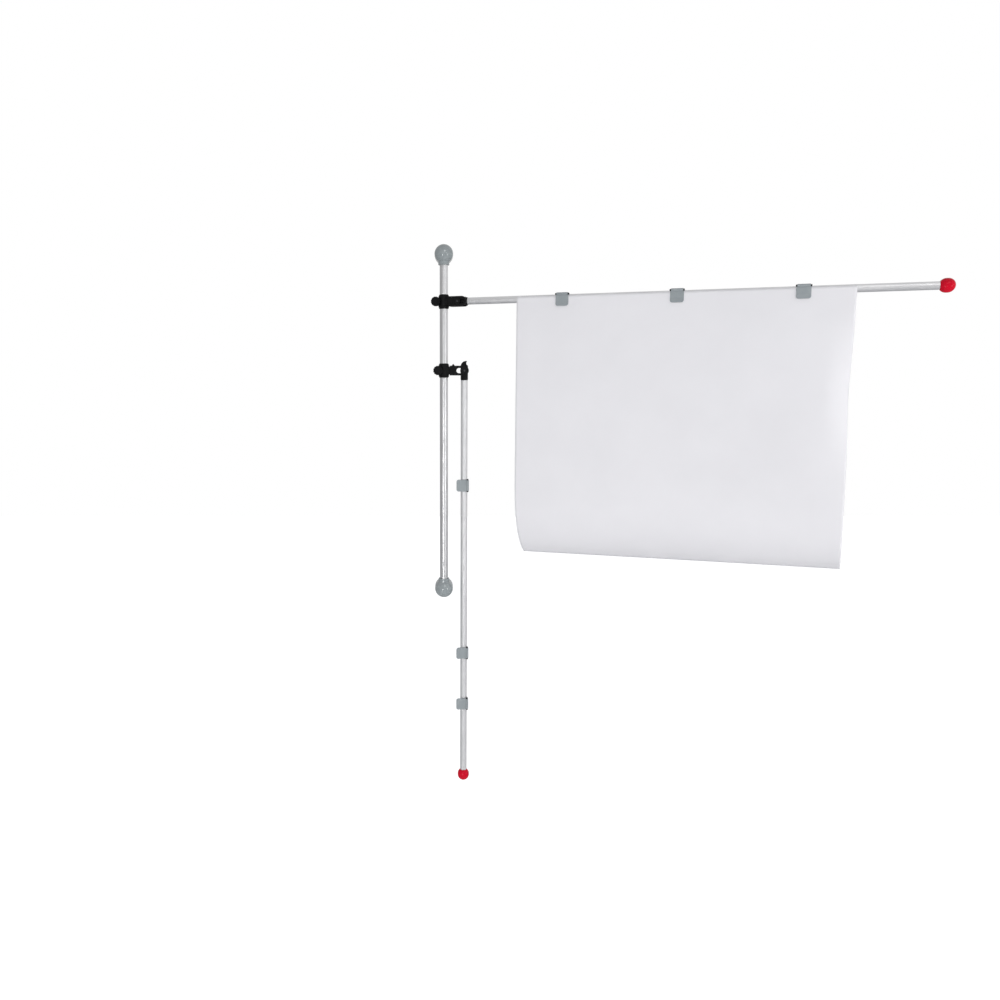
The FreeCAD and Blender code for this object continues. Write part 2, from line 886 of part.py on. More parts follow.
def make_pin(label):
    """The steel pin through the knuckle and both sliders, with slightly domed ends."""
    body = new_body(label)
    dome = size("pin_dome")
    edge = pin_radius - dome
    profile = new_sketch(body, "XY_Plane")
    draw_outline(
        profile,
        (0, -slider_outer - dome),
        (edge, -slider_outer - dome),
        (pin_radius, -slider_outer),
        (pin_radius, slider_outer),
        (edge, slider_outer + dome),
        (0, slider_outer + dome),
    )
    revolve(body, profile, "Y_Axis")
    return body


def make_slider(label):
    """A flanged bush that runs in one cheek's slot, drawn for the rear cheek."""
    body = new_body(label)
    radius = size("slider_diameter") / 2
    flange = radius + size("slider_flange_step")
    profile = new_sketch(body, "XY_Plane")
    draw_outline(
        profile,
        (pin_radius, slider_inner),
        (radius, slider_inner),
        (radius, slider_flange_low),
        (flange, slider_flange_low),
        (flange, slider_outer - size("pin_dome")),
        (flange - size("pin_dome"), slider_outer),
        (pin_radius, slider_outer),
    )
    revolve(body, profile, "Y_Axis")
    return body


def make_knuckle(label):
    """The arm's root: a hub on the pin, a horn behind it, and a shoulder and spigot for the tube."""
    body = new_body(label)
    hub = new_sketch(body, "XZ_Plane")
    draw_circle(hub, 0, 0, hub_radius * 2)
    pad(body, hub, hub_width)
    add_horn(body)

    spigot_end = size("shoulder_end") + size("spigot_length")
    rounding = size("shoulder_round")
    neck = new_sketch(body, "XY_Plane")
    draw_outline(
        neck,
        (0, 0),
        (0, shoulder_radius),
        (size("shoulder_end") - rounding, shoulder_radius),
        (size("shoulder_end"), arm_radius - size("shoulder_lip")),
        (size("shoulder_end"), arm_bore / 2),
        (spigot_end, arm_bore / 2),
        (spigot_end, 0),
    )
    revolve(body, neck, "X_Axis")

    bore = new_sketch(body, "XZ_Plane")
    draw_circle(bore, 0, 0, (pin_radius + size("running_gap")) * 2)
    pocket(body, bore)
    return body


def add_horn(body):
    """The thumb horn: a back that sweeps up to a blunt tip, with a round notch in front of it."""
    sweep, sweep_across = size("horn_sweep_radius"), -horn_root_length
    sweep_up = sweep - horn_root_half
    tip_up = size("horn_tip_height")
    tip_drop = tip_up - sweep_up
    notch, notch_up = size("horn_notch_radius"), size("horn_notch_height")
    notch_across = size("horn_notch_inset") - horn_back
    tip_in = size("horn_tip_inset") - horn_back
    tip_in_from_notch = notch_across - tip_in
    brow_drop = notch_up - horn_root_half
    horn = new_sketch(body, "XZ_Plane")
    draw_outline(
        horn,
        (0, horn_root_half),
        (0, -horn_root_half),
        (sweep_across, -horn_root_half),
        Arc(sweep_across, sweep_up, clockwise=True),
        (sweep_across - root(sweep * sweep - tip_drop * tip_drop), tip_up),
        (tip_in, notch_up - root(notch * notch - tip_in_from_notch * tip_in_from_notch)),
        Arc(notch_across, notch_up),
        (notch_across + root(notch * notch - brow_drop * brow_drop), horn_root_half),
    )
    pad(body, horn, size("horn_width"))


def make_arm_tube(label):
    body = new_body(label)
    section = new_sketch(body, "YZ_Plane", size("shoulder_end"))
    draw_circle(section, 0, 0, size("arm_diameter"))
    draw_circle(section, 0, 0, arm_bore)
    pad(body, section, tube_end - size("shoulder_end"), both_sides=False)
    return body


def make_end_cap(label):
    """The ball on the arm's end, with a plug that goes into the tube."""
    body = new_body(label)
    reach = size("arm_reach")
    profile = new_sketch(body, "XY_Plane")
    draw_outline(
        profile,
        (tube_end - size("cap_plug_length"), 0),
        (reach + cap_radius, 0),
        Arc(reach, 0),
        (tube_end, cap_face_radius),
        (tube_end, arm_bore / 2),
        (tube_end - size("cap_plug_length"), arm_bore / 2),
    )
    revolve(body, profile, "X_Axis")
    return body


def make_clip(label):
    """A clip: a C that snaps round the tube, a front plate with a flared tab, and a hollow roll."""
    body = new_body(label)
    below = size("clip_wrap_below")
    stop_in = -root(clip_inner * clip_inner - clip_stop * clip_stop)
    stop_corner = size("clip_stop_corner")
    flare, bend, tab_end = size("clip_tab_flare"), size("clip_tab_bend"), size("clip_tab_end")
    profile = new_sketch(body, "YZ_Plane")
    draw_outline(
        profile,
        (clip_inner * cosine(below), -(clip_inner * sine(below))),
        Arc(0, 0),
        (stop_in, clip_stop),
        (clip_front_in + stop_corner, clip_stop),
        Arc(clip_front_in + stop_corner, clip_stop - stop_corner),
        (clip_front_in, clip_stop - stop_corner),
        (clip_front_in, -bend),
        (clip_front_in - flare, -tab_end),
        (clip_front_out - flare, -tab_end),
        (clip_front_out, -bend),
        (clip_front_out, clip_groove_top - size("clip_groove_height")),
        (clip_groove, clip_groove_top - size("clip_groove_height")),
        (clip_groove, clip_groove_top),
        Arc(clip_roll_across, clip_roll_up, clockwise=True),
        (clip_roll_back, clip_outer),
        (0, clip_outer),
        Arc(0, 0, clockwise=True),
        (clip_outer * cosine(below), -(clip_outer * sine(below))),
    )
    draw_circle(profile, clip_roll_across, clip_roll_up, size("clip_roll_bore"))
    pad(body, profile, size("clip_length"))
    cut_roll_ends(body)
    shape_front_plate(body)
    return body


def cut_roll_ends(body):
    """Set the roll back at both ends of the clip, where the rod comes out."""
    setback = size("clip_roll_setback")
    front, top = clip_groove - OVERRUN - size("clip_roll_diameter"), clip_roll_up + clip_roll_radius
    behind = clip_roll_across + size("clip_roll_bore") / 2 + size("clip_rod_clearance")
    for backwards in (False, True):
        end = size("clip_length") / 2 - setback
        notch = new_sketch(body, "YZ_Plane", -end if backwards else end)
        draw_outline(
            notch,
            (front, clip_groove_top),
            (behind, clip_groove_top),
            (clip_roll_back, clip_outer),
            (clip_roll_back, top + OVERRUN),
            (front, top + OVERRUN),
        )
        pocket(body, notch, setback, both_sides=False, backwards=not backwards)


def shape_front_plate(body):
    """Round the tab's corners, then the rim of the front plate's outer face."""
    half, low = size("clip_length").value / 2, -size("clip_tab_end").value
    bend, flare = -size("clip_tab_bend").value, size("clip_tab_flare").value

    def at_tab_corner(edge):
        at_side = lies_at(edge, x=half) or lies_at(edge, x=-half)
        return at_side and lies_at(edge, z=low)

    def on_front_face(point):
        bent = max(0.0, (bend - point.z) / (bend - low))
        return abs(point.y - clip_front_out.value + flare * bent) < EDGE_TOLERANCE

    def on_front_rim(edge):
        points = [vertex.Point for vertex in edge.Vertexes]
        crosses_plate = abs(points[0].z - points[-1].z) < EDGE_TOLERANCE and points[0].z > low / 2
        return not crosses_plate and all(on_front_face(point) for point in points)

    blank = body.Tip
    tab = round_edges(body, blank, edges_where(blank, at_tab_corner), size("clip_tab_corner"))
    round_edges(body, tab, edges_where(tab, on_front_rim), size("clip_front_round"))


def make_clip_rod(label):
    """The dark rod through the clip's roll, which shows at both ends."""
    body = new_body(label)
    section = new_sketch(body, "YZ_Plane")
    diameter = size("clip_roll_bore") - size("clip_rod_play") * 2
    draw_circle(section, clip_roll_across, clip_roll_up, diameter)
    pad(body, section, size("clip_length") + size("clip_rod_overhang") * 2)
    return body


def make_sheet(label):
    """The plan: straight down the tube's front, then curling back towards the wall."""
    body = new_body(label)
    back = -(arm_radius + size("sheet_gap"))
    front = back - size("sheet_thickness")
    top = size("sheet_above_axis")
    bend = top - size("sheet_straight")
    radius, angle = size("sheet_curl_radius"), size("sheet_curl_angle")
    inner = radius - size("sheet_thickness")
    centre = front + radius
    profile = new_sketch(body, "YZ_Plane", size("sheet_start"))
    draw_outline(
        profile,
        (front, top),
        (front, bend),
        Arc(centre, bend),
        (centre - radius * cosine(angle), bend - radius * sine(angle)),
        (centre - inner * cosine(angle), bend - inner * sine(angle)),
        Arc(centre, bend, clockwise=True),
        (back, bend),
        (back, top),
    )
    pad(body, profile, size("sheet_width"), both_sides=False)
    return body


# ---------------------------------------------------------------- the two arms


def make_arm_set(side, height, swing, pivot, drop, catch_up, clip_places):
    """One clamp with its arm: swung about the rail, slid out to the pivot, and folded down."""
    level = {"along": -standoff, "up": height, "angle": -swing}
    place(make_bush(f"{side}_swivel_bush"), **level)
    place(make_clamp(f"{side}_clamp_fork"), **level)

    def at_clamp(piece, across, forward=ZERO, up=ZERO):
        """Place a piece at a spot of the clamp's own frame, forward being towards the room."""
        x = across * cosine(swing) - forward * sine(swing)
        y = -(across * sine(swing)) - forward * cosine(swing)
        place(piece, x, y - standoff, height + up, angle=-swing)

    at_clamp(make_clamp_nut(f"{side}_clamp_nut"), -ear_reach)
    at_clamp(make_washer(f"{side}_clamp_washer"), -ear_reach)
    at_clamp(make_clamp_screw(f"{side}_clamp_screw"), -ear_reach)
    at_clamp(make_knob(f"{side}_clamp_knob"), -ear_reach)
    catch_height = fork_half_height + catch_up
    at_clamp(make_catch(f"{side}_fork_catch"), catch_place, catch_middle(), catch_height)
    at_clamp(make_pin(f"{side}_pivot_pin"), pivot)
    at_clamp(make_slider(f"{side}_rear_slider"), pivot)
    front_slider = make_slider(f"{side}_front_slider")
    place_turned(front_slider, pivot, swing, height)

    def on_arm(piece, along_arm=ZERO):
        """Place a piece on the arm, which either stands level or hangs straight down."""
        if drop is None:
            at_clamp(piece, pivot + along_arm)
        else:
            x = pivot + along_arm * cosine(drop)
            place(piece, x, -standoff, height - along_arm * sine(drop), (0, 1, 0), drop)

    on_arm(make_knuckle(f"{side}_arm_knuckle"))
    on_arm(make_arm_tube(f"{side}_arm_tube"))
    on_arm(make_end_cap(f"{side}_end_cap"))
    for number, clip_place in enumerate(clip_places, start=1):
        on_arm(make_clip(f"{side}_clip_{number}"), clip_place)
        on_arm(make_clip_rod(f"{side}_clip_{number}_rod"), clip_place)
    return on_arm


def place_turned(piece, pivot, swing, height):
    """Place the rear slider's twin in the front cheek, by half a turn about the rail's direction."""
    x, y = pivot * cosine(swing), -(pivot * sine(swing))
    place(piece, x, y - standoff, height, angle=180 - swing)


make_wall_rail()
on_upper_arm = make_arm_set(
    "upper",
    size("upper_arm_height"),
    size("upper_swing"),
    pivot_in,
    None,
    ZERO,
    [size("upper_first_clip"), size("upper_second_clip"), size("upper_third_clip")],
)
on_upper_arm(make_sheet("plan_sheet"))
make_arm_set(
    "lower",
    size("lower_arm_height"),
    ZERO,
    pivot_out,
    size("lower_drop"),
    size("catch_rise"),
    [size("lower_first_clip"), size("lower_second_clip"), size("lower_third_clip")],
)
doc.recompute()

for item in doc.Objects:
    if {"Invalid", "Error"} & set(item.State):
        raise RuntimeError(f"{item.Name} did not compute: {item.State}")

pieces = [item for item in doc.Objects if item.TypeId == "PartDesign::Body"]
for piece in pieces:
    if piece.Shape.isNull() or not piece.Shape.isValid() or len(piece.Shape.Solids) != 1:
        raise RuntimeError(f"{piece.Label} is not one valid solid")

os.makedirs("parts", exist_ok=True)
for piece in pieces:
    piece.Shape.exportStep(f"parts/{piece.Label}.step")
print(f"{len(pieces)} pieces written")
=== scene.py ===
"""Plan hanging rack: the finish of every piece, the hung sheet, the studio and the camera.

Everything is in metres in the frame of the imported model: +Z up, the wall at Y = 0, the room on
the -Y side, and the origin midway between the two wall screws.
"""

import json
import math

import bpy
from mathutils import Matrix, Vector


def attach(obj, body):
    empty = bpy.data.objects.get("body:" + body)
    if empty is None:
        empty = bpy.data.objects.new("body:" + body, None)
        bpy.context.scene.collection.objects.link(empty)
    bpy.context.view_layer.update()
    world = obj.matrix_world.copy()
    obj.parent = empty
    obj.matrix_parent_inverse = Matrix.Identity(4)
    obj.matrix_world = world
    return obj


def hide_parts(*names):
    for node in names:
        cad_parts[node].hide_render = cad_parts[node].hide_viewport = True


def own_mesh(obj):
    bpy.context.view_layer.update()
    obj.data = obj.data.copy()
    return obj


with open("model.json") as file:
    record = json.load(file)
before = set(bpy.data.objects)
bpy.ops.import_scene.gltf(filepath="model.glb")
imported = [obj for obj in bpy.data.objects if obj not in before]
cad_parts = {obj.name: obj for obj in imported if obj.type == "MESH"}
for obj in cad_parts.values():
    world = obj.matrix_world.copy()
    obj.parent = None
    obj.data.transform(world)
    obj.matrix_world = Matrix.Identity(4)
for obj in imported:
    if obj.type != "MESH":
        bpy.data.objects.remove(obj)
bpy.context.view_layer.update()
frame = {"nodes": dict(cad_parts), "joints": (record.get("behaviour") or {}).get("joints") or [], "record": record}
nodes = frame["nodes"]
joints = {joint["name"]: joint for joint in frame["joints"]}
slots = {part["node"]: part["material_slot"] for part in frame["record"]["subparts"]}

# ---------------------------------------------------------------- where the raised arm lies

RAIL_POINT = Vector(joints["upper_swing"]["pos_m"])
PIVOT = Vector(joints["upper_fold"]["pos_m"])
ALONG_ARM = (PIVOT - RAIL_POINT).normalized()
UP = Vector((0, 0, 1))
FORWARD = ALONG_ARM.cross(UP)
ARM_TURN = math.atan2(ALONG_ARM.y, ALONG_ARM.x)

# the plan sheet as it hangs: straight down in front of the tube, then curling back to the wall
SHEET_WIDTH = 0.698
SHEET_LENGTH = 0.6157
SHEET_STRAIGHT = 0.419
SHEET_ROLLED = SHEET_LENGTH - SHEET_STRAIGHT
SHEET_CURL_LEFT = math.radians(57.5)
SHEET_CURL_RIGHT = math.radians(64.0)
SHEET_CURL_GROWTH = 1.6
SHEET_SWAY = 0.005
SHEET_START = 0.1405
SHEET_TOP_ABOVE_AXIS = 0.0049
SHEET_IN_FRONT = 0.00835
SHEET_THICKNESS = 0.00015
SHEET_COLUMNS = 160
SHEET_ROWS = 110
# the free right edge, which bends back between the top and the bottom
EDGE_BEND_WIDTH = 0.055
EDGE_BEND = math.radians(34.0)
EDGE_BEND_HEIGHT = 0.220
EDGE_BEND_REACH = 0.115
EDGE_BEND_FAINTEST = 0.01
# the paper's waves: their height, and where they have grown to it below the clips
WAVE_HEIGHT = 0.0016
WAVE_GROWN_AT = 0.25
# each wave's radians over a metre across and over the sheet's length down, and where it starts
WAVE_ACROSS, WAVE_ACROSS_START = 9.0, 1.1
WAVE_DOWN, WAVE_DOWN_START = 2.2, 0.4

# the red caps' shoulders, which round each ball off over the tube's end: how far the end lies from
# the arm's pivot, and the shoulder's places along the arm from that end
TUBE_END = 0.98684
BALL_RADIUS = 0.0140
SHOULDER_CENTRE = 0.0088
SHOULDER_START = -0.00265
SHOULDER_END = 0.0099
SHOULDER_DEPTH = 0.0009
SHOULDER_THIN_ROWS = 3
SHOULDER_ROWS = 20
SHOULDER_SIDES = 96

FLOOR_HEIGHT = -1.6
FLOOR_HALF = 9.0
FLOOR_GLOW = 0.75

# the world: its light on the object, and the levels that metal mirrors from dark to light along
# a direction that runs to the right and up
WORLD_TINT = (0.96, 0.98, 1.0)
WORLD_STRENGTH = 0.42
MIRROR_DIRECTION = (0.75, 0.0, 0.65)
MIRROR_SPAN = (-0.8, 0.6)
MIRROR_LEVELS = (0.40, 0.82)

# the camera, found from the rail, both arms and the sheet's corners
CAMERA_PLACE = (0.0090, -2.1094, 0.0994)
CAMERA_TILT = math.radians(7.62)
CAMERA_LENS = 31.514
CAMERA_SENSOR = 36.0
CAMERA_SHIFT = 0.0523

# noise stays mostly between these two values
NOISE_LOW, NOISE_HIGH = 0.3, 0.7
# how far a tube's tone runs up in its clouds, how much bluer it is, and its die lines' depth
TUBE_TONE_SPREAD = 0.06
TUBE_BLUER = 0.01
DIE_LINE_DEPTH = 0.000004


# ---------------------------------------------------------------- node helpers


class Graph:
    """A material's node tree, with short ways to add and join nodes."""

    def __init__(self, name):
        self.material = bpy.data.materials.new(name)
        self.material.use_nodes = True
        self.tree = self.material.node_tree
        self.shader = self.tree.nodes["Principled BSDF"]

    def add(self, kind, **settings):
        node = self.tree.nodes.new(kind)
        for name, value in settings.items():
            setattr(node, name, value)
        return node

    def join(self, source, target):
        self.tree.links.new(source, target)

    def set(self, **values):
        """Set the shader's own sockets, an underscore standing for a space in a socket's name."""
        for name, value in values.items():
            self.shader.inputs[name.replace("_", " ")].default_value = value

    def noise(self, scale, detail=2.0, roughness=0.5, stretch=(1, 1, 1), turn=0.0):
        """Noise over the piece's own coordinates, scale being its features in a metre."""
        place = self.add("ShaderNodeTexCoord")
        mapping = self.add("ShaderNodeMapping", vector_type="TEXTURE")
        mapping.inputs["Rotation"].default_value = (0, 0, turn)
        mapping.inputs["Scale"].default_value = stretch
        noise = self.add("ShaderNodeTexNoise")
        noise.inputs["Scale"].default_value = scale
        noise.inputs["Detail"].default_value = detail
        noise.inputs["Roughness"].default_value = roughness
        self.join(place.outputs["Object"], mapping.inputs["Vector"])
        self.join(mapping.outputs["Vector"], noise.inputs["Vector"])
        return noise.outputs["Fac"]

    def spread(self, source, low, high):
        """Map noise to the span from low to high."""
        spread = self.add("ShaderNodeMapRange")
        spread.inputs["From Min"].default_value = NOISE_LOW
        spread.inputs["From Max"].default_value = NOISE_HIGH
        spread.inputs["To Min"].default_value = low
        spread.inputs["To Max"].default_value = high
        self.join(source, spread.inputs["Value"])
        return spread.outputs["Result"]

    def tint(self, source, first, second):
        """Run the shader's colour between two colours by noise."""
        mix = self.add("ShaderNodeMix", data_type="RGBA")
        mix.inputs["A"].default_value = (*first, 1)
        mix.inputs["B"].default_value = (*second, 1)
        self.join(self.spread(source, 0, 1), mix.inputs["Factor"])
        self.join(mix.outputs["Result"], self.shader.inputs["Base Color"])

    def relief(self, *layers, edge=0.0):
        """Bumps given as (source, depth in metres), over edges that catch light within edge."""
        normal = None
        if edge:
            bevel = self.add("ShaderNodeBevel", samples=4)
            bevel.inputs["Radius"].default_value = edge
            normal = bevel.outputs["Normal"]
        for source, depth in layers:
            bump = self.add("ShaderNodeBump")
            bump.inputs["Distance"].default_value = depth
            self.join(source, bump.inputs["Height"])
            if normal is not None:
                self.join(normal, bump.inputs["Normal"])
            normal = bump.outputs["Normal"]
        if normal is not None:
            self.join(normal, self.shader.inputs["Normal"])


# ---------------------------------------------------------------- finishes


def anodised_tube(name, tone, roughness, stretch, turn=0.0):
    """Drawn tube, satin anodised: fine die lines along it and a faint cloudiness."""
    graph = Graph(name)
    graph.set(Metallic=1.0, IOR=1.5)
    low, high = roughness
    lines = graph.noise(scale=900, detail=3, roughness=0.6, stretch=stretch, turn=turn)
    cloud = graph.noise(scale=18, detail=2)
    dark, light = ((level, level, level + TUBE_BLUER) for level in (tone, tone + TUBE_TONE_SPREAD))
    graph.tint(cloud, dark, light)
    graph.join(graph.spread(lines, low, high), graph.shader.inputs["Roughness"])
    graph.relief((lines, DIE_LINE_DEPTH))
    return graph.material


def moulded_plastic(name, dark, light, roughness, grain, depth, shine=0.5):
    """Moulded plastic: a slightly mottled colour, a fine surface grain and softened edges."""
    graph = Graph(name)
    graph.set(IOR=1.5, Specular_IOR_Level=shine)
    graph.tint(graph.noise(scale=60, detail=3), dark, light)
    texture = graph.noise(scale=grain, detail=2)
    low, high = roughness
    gloss = graph.noise(scale=140, detail=3)
    graph.join(graph.spread(gloss, low, high), graph.shader.inputs["Roughness"])
    graph.relief((texture, depth), edge=0.0003)
    return graph.material


def plated_steel(name, dark, light):
    """Turned steel under a thin plating, slightly uneven in colour and gloss."""
    graph = Graph(name)
    graph.set(Metallic=1.0)
    graph.tint(graph.noise(scale=700, detail=2), dark, light)
    gloss = graph.noise(scale=1200, detail=3)
    graph.join(graph.spread(gloss, low=0.25, high=0.42), graph.shader.inputs["Roughness"])
    turning_marks = graph.noise(scale=1500, detail=2)
    graph.relief((turning_marks, 0.00001), edge=0.0002)
    return graph.material


def paper(name):
    """Plan paper: cool white, matte, with faint fibre and long shallow waves in its surface."""
    graph = Graph(name)
    graph.set(Roughness=0.88, IOR=1.35)
    graph.tint(graph.noise(scale=9, detail=3), (0.785, 0.775, 0.80), (0.81, 0.80, 0.825))
    fibre = graph.noise(scale=2600, detail=3, roughness=0.6)
    long_waves = graph.noise(scale=7, detail=1)
    graph.relief((long_waves, 0.0006), (fibre, 0.00001))
    return graph.material


def finishes():
    """One material for each slot of the record."""
    return {
        "anodised_aluminium": anodised_tube(
            "anodised_rail", tone=0.68, roughness=(0.36, 0.42), stretch=(1, 1, 60)
        ),
        "grey_plastic": moulded_plastic(
            "grey_gloss",
            dark=(0.265, 0.295, 0.305),
            light=(0.295, 0.325, 0.335),
            roughness=(0.07, 0.10),
            grain=400,
            depth=0.000004,
            shine=0.8,
        ),
        "black_plastic": moulded_plastic(
            "black_satin",
            dark=(0.003, 0.003, 0.0035),
            light=(0.006, 0.006, 0.0065),
            roughness=(0.4, 0.54),
            grain=1800,
            depth=0.00003,
            shine=0.13,
        ),
        "bush_plastic": moulded_plastic(
            "black_smooth",
            dark=(0.008, 0.008, 0.009),
            light=(0.014, 0.014, 0.015),
            roughness=(0.34, 0.46),
            grain=900,
            depth=0.00001,
            shine=0.25,
        ),
        "clip_plastic": moulded_plastic(
            "clip_grey",
            dark=(0.27, 0.30, 0.315),
            light=(0.305, 0.335, 0.35),
            roughness=(0.34, 0.44),
            grain=1200,
            depth=0.00002,
        ),
        "red_plastic": moulded_plastic(
            "red_gloss",
            dark=(0.59, 0.0025, 0.02),
            light=(0.625, 0.0035, 0.022),
            roughness=(0.22, 0.26),
            grain=300,
            depth=0.000003,
            shine=0.12,
        ),
        "zinc_steel": plated_steel("zinc_plated", (0.50, 0.51, 0.53), (0.62, 0.62, 0.63)),
        "black_steel": plated_steel("blackened", (0.045, 0.046, 0.05), (0.07, 0.071, 0.075)),
        "paper": paper("plan_paper"),
    }


def dress_cad(materials):
    """Give each CAD piece its slot's material, and the arms' duller tubes their own die lines; the hanging tube's
    lighter tone is painted light.
    """
    tubes = {
        "upper_arm_tube": anodised_tube(
            "anodised_raised", tone=0.68, roughness=(0.47, 0.53), stretch=(60, 1, 1), turn=ARM_TURN
        ),
        # the hanging tube is the same aluminium as the rail: its lighter tone, 0.77 against 0.68, is painted light
        "lower_arm_tube": anodised_tube(
            "anodised_hanging_painted_lighter", tone=0.77, roughness=(0.56, 0.62), stretch=(1, 1, 60)
        ),
    }
    for name, piece in nodes.items():
        material = tubes.get(name, materials[slots[name]])
        piece.data.materials.clear()
        piece.data.materials.append(material)


def add_piece(name, points, faces, material, smooth=True):
    """A mesh object in the scene, of one material."""
    mesh = bpy.data.meshes.new(name)
    mesh.from_pydata(points, [], faces)
    mesh.polygons.foreach_set("use_smooth", [smooth] * len(faces))
    mesh.materials.append(material)
    piece = bpy.data.objects.new(name, mesh)
    bpy.context.scene.collection.objects.link(piece)
    return piece


# ---------------------------------------------------------------- the hung sheet


def roll_angle(across, down):
    """How far the sheet has turned from the vertical: more towards its end and its right."""
    if down <= SHEET_STRAIGHT:
        return 0.0
    whole = SHEET_CURL_LEFT + (SHEET_CURL_RIGHT - SHEET_CURL_LEFT) * across / SHEET_WIDTH
    return whole * ((down - SHEET_STRAIGHT) / SHEET_ROLLED) ** SHEET_CURL_GROWTH


def bend_edge(across, down):
    """Where the right edge's bend puts a point: its way across, and how far back it lies."""
    past = across - (SHEET_WIDTH - EDGE_BEND_WIDTH)
    swell = math.exp(-(((down - EDGE_BEND_HEIGHT) / EDGE_BEND_REACH) ** 2))
    if past <= 0 or swell < EDGE_BEND_FAINTEST:
        return across, 0.0
    radius = EDGE_BEND_WIDTH / (EDGE_BEND * swell)
    turned = past / radius
    return across - past + radius * math.sin(turned), radius * (1 - math.cos(turned))


def sheet_wave(across, down):
    """The paper's slight unevenness, towards the room: none where the clips hold it."""
    height = WAVE_HEIGHT * min(1.0, down / WAVE_GROWN_AT)
    sideways = math.sin(WAVE_ACROSS * across + WAVE_ACROSS_START)
    return height * sideways * math.sin(WAVE_DOWN * down / SHEET_LENGTH + WAVE_DOWN_START)


def make_sheet(material):
    """The sheet as a grid, each column of it turned further back by the curl row after row."""
    corner = PIVOT + ALONG_ARM * SHEET_START + FORWARD * SHEET_IN_FRONT
    corner += UP * SHEET_TOP_ABOVE_AXIS
    step = SHEET_LENGTH / SHEET_ROWS
    back = [0.0] * (SHEET_COLUMNS + 1)
    drop = [0.0] * (SHEET_COLUMNS + 1)
    points, faces = [], []
    for row in range(SHEET_ROWS + 1):
        down = step * row
        for column in range(SHEET_COLUMNS + 1):
            across = SHEET_WIDTH * column / SHEET_COLUMNS
            if row:
                turned = roll_angle(across, down - step / 2)
                back[column] += step * math.sin(turned)
                drop[column] += step * math.cos(turned)
            along, bent = bend_edge(across, down)
            along += SHEET_SWAY * max(0.0, (down - SHEET_STRAIGHT) / SHEET_ROLLED) ** 2
            forward = sheet_wave(across, down) - back[column] - bent
            points.append(corner + ALONG_ARM * along + FORWARD * forward - UP * drop[column])
    stride = SHEET_COLUMNS + 1
    for row in range(SHEET_ROWS):
        for column in range(SHEET_COLUMNS):
            first = row * stride + column
            faces.append((first, first + stride, first + stride + 1, first + 1))
    piece = add_piece("hung_sheet", points, faces, material)
    thickness = piece.modifiers.new("thickness", "SOLIDIFY")
    thickness.thickness = SHEET_THICKNESS
    thickness.offset = 0
    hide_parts("plan_sheet")
    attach(piece, "upper_arm")
    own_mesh(piece)


# ---------------------------------------------------------------- the end caps' shoulders


def shoulder_outline():
    """Points (along, radius) of a thin shell: out over the ball's curve and back just inside it."""
    outer, inner = [], []
    for row in range(SHOULDER_ROWS + 1):
        along = SHOULDER_START + (SHOULDER_END - SHOULDER_START) * row / SHOULDER_ROWS
        radius = math.sqrt(BALL_RADIUS**2 - (along - SHOULDER_CENTRE) ** 2)
        depth = SHOULDER_DEPTH * min(1.0, row / SHOULDER_THIN_ROWS)
        outer.append((along, radius))
        inner.append((along + SHOULDER_DEPTH / 4, radius - depth))
    return outer + inner[:0:-1]


def make_shoulder(name, body, tube_end, towards_tip, material):
    """Turn the outline round the arm's axis."""
    outline = shoulder_outline()
    sideways = towards_tip.orthogonal().normalized()
    other = towards_tip.cross(sideways)
    points, faces = [], []
    for side in range(SHOULDER_SIDES):
        angle = 2 * math.pi * side / SHOULDER_SIDES
        outward = sideways * math.cos(angle) + other * math.sin(angle)
        points += [tube_end + towards_tip * along + outward * radius for along, radius in outline]
    for side in range(SHOULDER_SIDES):
        here = side * len(outline)
        beside = (side + 1) % SHOULDER_SIDES * len(outline)
        for place in range(len(outline)):
            after = (place + 1) % len(outline)
            faces.append((here + place, beside + place, beside + after, here + after))
    shoulder = add_piece(name, points, faces, material)
    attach(shoulder, body)


def make_shoulders(material):
    raised = PIVOT + ALONG_ARM * TUBE_END
    hanging = Vector(joints["lower_fold"]["pos_m"]) - UP * TUBE_END
    make_shoulder("upper_cap_shoulder", "upper_arm", raised, ALONG_ARM, material)
    make_shoulder("lower_cap_shoulder", "lower_arm", hanging, -UP, material)


# ---------------------------------------------------------------- studio


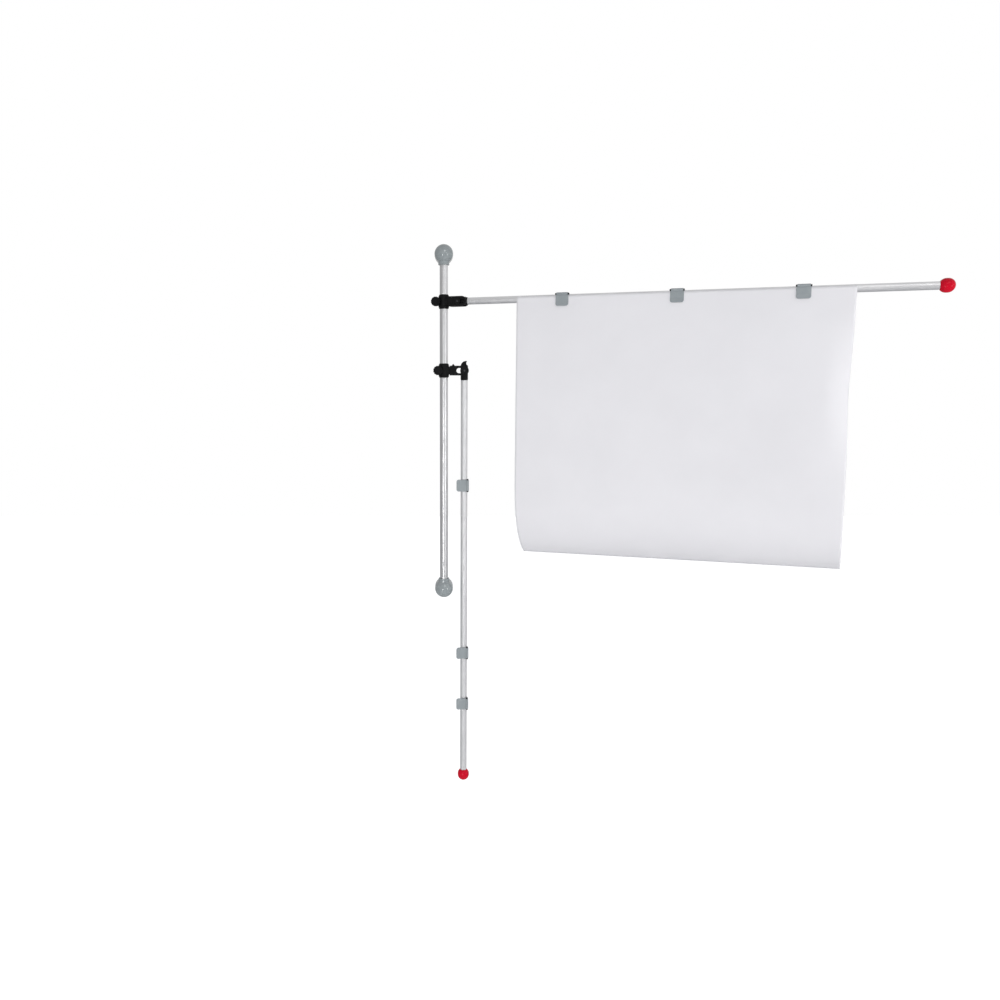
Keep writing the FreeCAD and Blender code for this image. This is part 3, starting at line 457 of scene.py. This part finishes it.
def build_world():
    """White behind everything, softer as light, and in metal darker to the left and below."""
    world = bpy.data.worlds.new("studio")
    world.use_nodes = True
    bpy.context.scene.world = world
    tree = world.node_tree
    tree.nodes.clear()

    def add(kind, **settings):
        node = tree.nodes.new(kind)
        for name, value in settings.items():
            setattr(node, name, value)
        return node

    def blend(factor, first, second):
        mix = add("ShaderNodeMixShader")
        tree.links.new(factor, mix.inputs["Fac"])
        tree.links.new(first.outputs[0], mix.inputs[1])
        tree.links.new(second.outputs[0], mix.inputs[2])
        return mix

    lit, seen, mirrored = (add("ShaderNodeBackground") for _ in range(3))
    lit.inputs["Color"].default_value = (*WORLD_TINT, 1)
    lit.inputs["Strength"].default_value = WORLD_STRENGTH
    seen.inputs["Color"].default_value = (1, 1, 1, 1)
    seen.inputs["Strength"].default_value = 1.0

    direction = add("ShaderNodeTexCoord")
    lean = add("ShaderNodeVectorMath", operation="DOT_PRODUCT")
    lean.inputs[1].default_value = MIRROR_DIRECTION
    tree.links.new(direction.outputs["Generated"], lean.inputs[0])
    shade = add("ShaderNodeMapRange")
    shade_sockets = ("From Min", "From Max", "To Min", "To Max")
    for socket, value in zip(shade_sockets, (*MIRROR_SPAN, *MIRROR_LEVELS)):
        shade.inputs[socket].default_value = value
    tree.links.new(lean.outputs["Value"], shade.inputs["Value"])
    tree.links.new(shade.outputs["Result"], mirrored.inputs["Strength"])
    mirrored.inputs["Color"].default_value = (1, 1, 1, 1)

    path = add("ShaderNodeLightPath")
    with_mirror = blend(path.outputs["Is Glossy Ray"], lit, mirrored)
    with_glass = blend(path.outputs["Is Transmission Ray"], with_mirror, seen)
    with_camera = blend(path.outputs["Is Camera Ray"], with_glass, seen)
    output = add("ShaderNodeOutputWorld")
    tree.links.new(with_camera.outputs[0], output.inputs["Surface"])


def make_floor():
    """A plain pale floor, well below the rack, that renders white but keeps its soft shadows."""
    graph = Graph("pale_floor")
    graph.set(Base_Color=(0.82, 0.82, 0.83, 1), Roughness=0.9)
    glow = graph.add("ShaderNodeEmission")
    glow.inputs["Strength"].default_value = FLOOR_GLOW
    both = graph.add("ShaderNodeAddShader")
    graph.join(graph.shader.outputs[0], both.inputs[0])
    graph.join(glow.outputs[0], both.inputs[1])
    path = graph.add("ShaderNodeLightPath")
    mix = graph.add("ShaderNodeMixShader")
    graph.join(path.outputs["Is Camera Ray"], mix.inputs["Fac"])
    graph.join(graph.shader.outputs[0], mix.inputs[1])
    graph.join(both.outputs[0], mix.inputs[2])
    graph.join(mix.outputs[0], graph.tree.nodes["Material Output"].inputs["Surface"])
    signs = ((-1, -1), (1, -1), (1, 1), (-1, 1))
    corners = [(x * FLOOR_HALF, y * FLOOR_HALF, FLOOR_HEIGHT) for x, y in signs]
    floor = add_piece("floor", corners, [(0, 1, 2, 3)], graph.material, smooth=False)


def add_lamp(name, place, aim, size, power, mirrored):
    """A rectangular lamp at a place, aimed at a point, that shiny surfaces may mirror."""
    lamp = bpy.data.lights.new(name, "AREA")
    lamp.shape = "RECTANGLE"
    lamp.size, lamp.size_y = size
    lamp.energy = power
    holder = bpy.data.objects.new(name, lamp)
    holder.location = place
    holder.rotation_euler = (Vector(aim) - Vector(place)).to_track_quat("-Z", "Y").to_euler()
    holder.visible_glossy = mirrored
    bpy.context.scene.collection.objects.link(holder)


def light_studio():
    """Broad fills in front and on the right, a strip beside each, and a key from above."""
    middle = (0.4, -0.1, -0.1)
    lamps = (
        ("front_fill", (-1.3, -2.4, -0.6), (1.2, 1.2), 18, False),
        ("right_fill", (2.6, -1.2, -0.1), (1.0, 1.2), 16, False),
        ("left_strip", (-0.6, -2.45, -0.6), (0.2, 0.9), 11, True),
        ("right_strip", (1.9, -1.75, -0.25), (0.2, 0.8), 7, True),
        ("key", (0.6, -2.5, 1.8), (1.0, 1.0), 10, True),
    )
    for name, place, size, power, mirrored in lamps:
        add_lamp(name, place, middle, size, power, mirrored)


def place_camera():
    """The photograph's view."""
    camera = bpy.data.cameras.new("camera")
    camera.sensor_fit = "HORIZONTAL"
    camera.sensor_width = CAMERA_SENSOR
    camera.lens = CAMERA_LENS
    camera.shift_x = CAMERA_SHIFT
    holder = bpy.data.objects.new("camera", camera)
    holder.location = CAMERA_PLACE
    holder.rotation_euler = (math.radians(90) - CAMERA_TILT, 0, 0)
    bpy.context.scene.collection.objects.link(holder)
    bpy.context.scene.camera = holder


bpy.context.scene.view_settings.view_transform = "Standard"
materials = finishes()
dress_cad(materials)
make_sheet(materials["paper"])
make_shoulders(materials["red_plastic"])
build_world()
make_floor()
light_studio()
place_camera()
